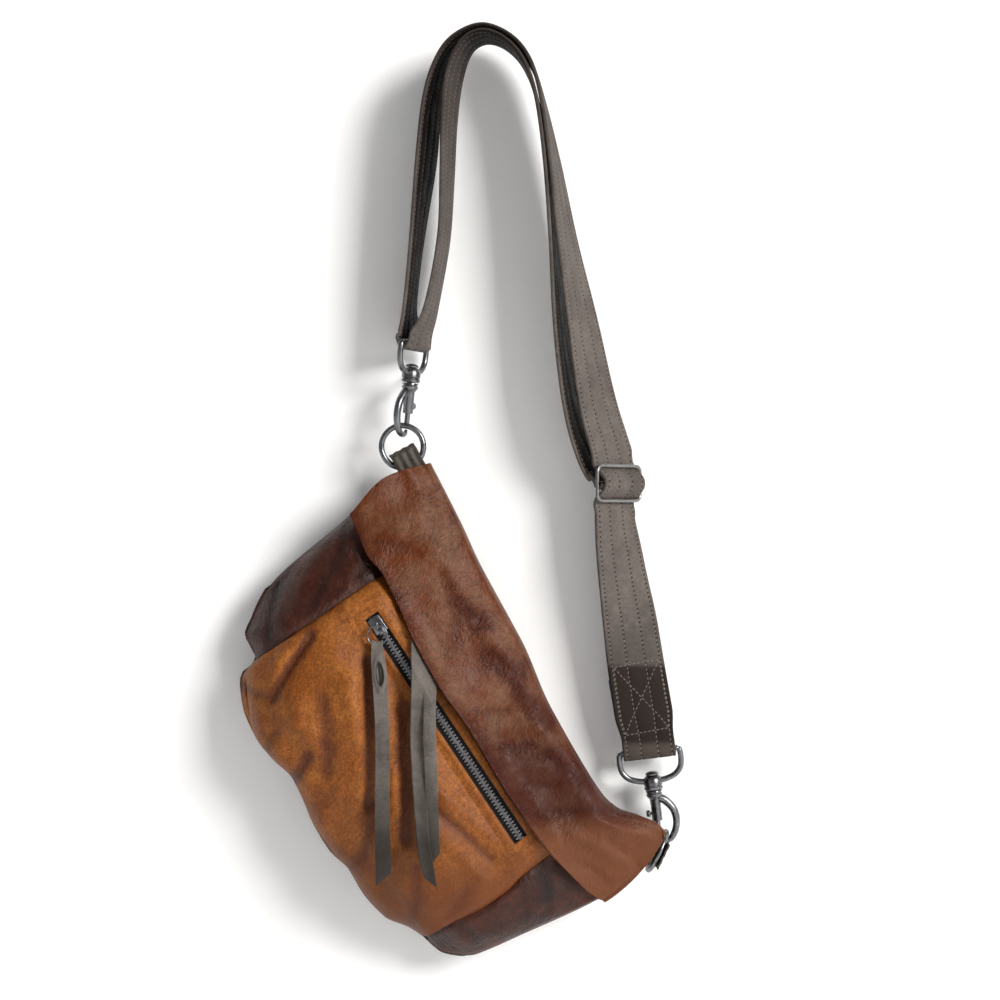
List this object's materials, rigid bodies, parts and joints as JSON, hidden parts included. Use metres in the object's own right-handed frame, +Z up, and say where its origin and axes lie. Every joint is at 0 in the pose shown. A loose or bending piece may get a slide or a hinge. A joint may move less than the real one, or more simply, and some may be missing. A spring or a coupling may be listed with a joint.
{
  "type": "sling bag",
  "caption": "Soft leather sling bag with a fold-over flap, a zipped front pocket and an adjustable shoulder strap held to its end rings by swivel bolt snaps.",
  "frame": {"origin": "underside of the strap's inner layer at its top bend, where the bag hangs from a hook", "axes": "+Z up along the hang, +X to the right as seen from the bag's front, front faces -Y, flat back faces +Y"},
  "size_m": [0.2827, 0.0767, 0.5913],
  "materials": {
    "chestnut_leather": "pull-up leather, waxed and creased",
    "dark_brown_leather": "smooth dark leather",
    "tan_leather": "tumbled leather with soft folds",
    "taupe_leather": "matt stitched strap leather",
    "lining_fabric": "plain woven lining",
    "zip_tape": "black woven tape",
    "gunmetal_teeth": "gunmetal",
    "polished_nickel": "polished nickel plate",
    "spring_steel": "drawn wire"
  },
  "bodies": {
    "bag": {"pouch_panel": "tan_leather", "end_panel_left": "dark_brown_leather", "end_panel_right": "dark_brown_leather", "zip_yoke": "chestnut_leather", "back_panel": "dark_brown_leather", "back_lining": "lining_fabric", "pocket_lining": "lining_fabric", "flap_end": "chestnut_leather", "pocket_zip_tape_upper": "zip_tape", "pocket_zip_tape_lower": "zip_tape", "pocket_zip_teeth_upper": "gunmetal_teeth", "pocket_zip_teeth_lower": "gunmetal_teeth", "main_zip_tape_upper": "zip_tape", "main_zip_tape_lower": "zip_tape", "main_zip_teeth_upper": "gunmetal_teeth", "main_zip_teeth_lower": "gunmetal_teeth", "ring_tab_left": "taupe_leather", "ring_tab_right": "taupe_leather", "upper_snap_eye": "polished_nickel", "lower_snap_eye": "polished_nickel", "strap_outer": "taupe_leather", "strap_inner": "taupe_leather", "strap_lower": "taupe_leather", "buckle_frame": "polished_nickel", "buckle_bar": "polished_nickel"},
    "flap": {"flap": "chestnut_leather"},
    "pocket_slider": {"pocket_slider": "polished_nickel"},
    "pocket_pull_ring": {"pocket_pull_ring": "polished_nickel"},
    "pocket_pull_strip": {"pocket_pull_strip": "taupe_leather"},
    "main_slider": {"main_slider": "polished_nickel", "main_pull_strip": "taupe_leather"},
    "ring_left": {"ring_left": "polished_nickel"},
    "ring_right": {"ring_right": "polished_nickel"},
    "upper_hook": {"upper_snap_hook": "polished_nickel", "upper_snap_spring": "spring_steel"},
    "upper_bolt": {"upper_snap_bolt": "polished_nickel"},
    "lower_hook": {"lower_snap_hook": "polished_nickel", "lower_snap_spring": "spring_steel"},
    "lower_bolt": {"lower_snap_bolt": "polished_nickel"}
  },
  "joints": [
    {"name": "flap_hinge", "type": "hinge", "parent": "bag", "child": "flap", "pos_m": [0.01647, 0.004, -0.37579], "axis": [-0.4695, 0, 0.8829], "range_deg": [0, 90]},
    {"name": "pocket_zip_slide", "type": "slide", "parent": "bag", "child": "pocket_slider", "axis": [0.555, 0, -0.8319], "range_m": [0, 0.15]},
    {"name": "pull_ring_swing", "type": "hinge", "parent": "pocket_slider", "child": "pocket_pull_ring", "pos_m": [-0.06964, -0.0324, -0.37061], "axis": [-1, 0, 0], "range_deg": [0, 60]},
    {"name": "pull_strip_swing", "type": "hinge", "parent": "pocket_pull_ring", "child": "pocket_pull_strip", "pos_m": [-0.06964, -0.0324, -0.38281], "axis": [-1, 0, 0], "range_deg": [0, 70]},
    {"name": "main_zip_slide", "type": "slide", "parent": "bag", "child": "main_slider", "axis": [0.5426, 0, -0.84], "range_m": [-0.03, 0.006]},
    {"name": "ring_left_spin", "type": "hinge", "parent": "bag", "child": "ring_left", "pos_m": [-0.05573, 0.00287, -0.259], "axis": [-0.0349, -0.9994, 0], "continuous": true},
    {"name": "ring_right_spin", "type": "hinge", "parent": "bag", "child": "ring_right", "pos_m": [0.10732, 0.015, -0.51826], "axis": [0.9019, 0, -0.4319], "continuous": true},
    {"name": "upper_swivel", "type": "hinge", "parent": "bag", "child": "upper_hook", "pos_m": [-0.051, 0.006, -0.2209], "axis": [0.096, -0.038, 0.9947], "range_deg": [0, 45]},
    {"name": "upper_bolt_slide", "type": "slide", "parent": "upper_hook", "child": "upper_bolt", "axis": [0.096, -0.038, 0.9947], "range_m": [0, 0.004], "stiffness_N_per_m": 150, "springref_m": -0.006, "deforming": ["upper_snap_spring"]},
    {"name": "lower_swivel", "type": "hinge", "parent": "bag", "child": "lower_hook", "pos_m": [0.1055, 0.015, -0.482], "axis": [-0.118, 0, 0.993], "range_deg": [-20, 25]},
    {"name": "lower_bolt_slide", "type": "slide", "parent": "lower_hook", "child": "lower_bolt", "axis": [-0.118, 0, 0.993], "range_m": [0, 0.004], "stiffness_N_per_m": 150, "springref_m": -0.006, "deforming": ["lower_snap_spring"]}
  ]
}
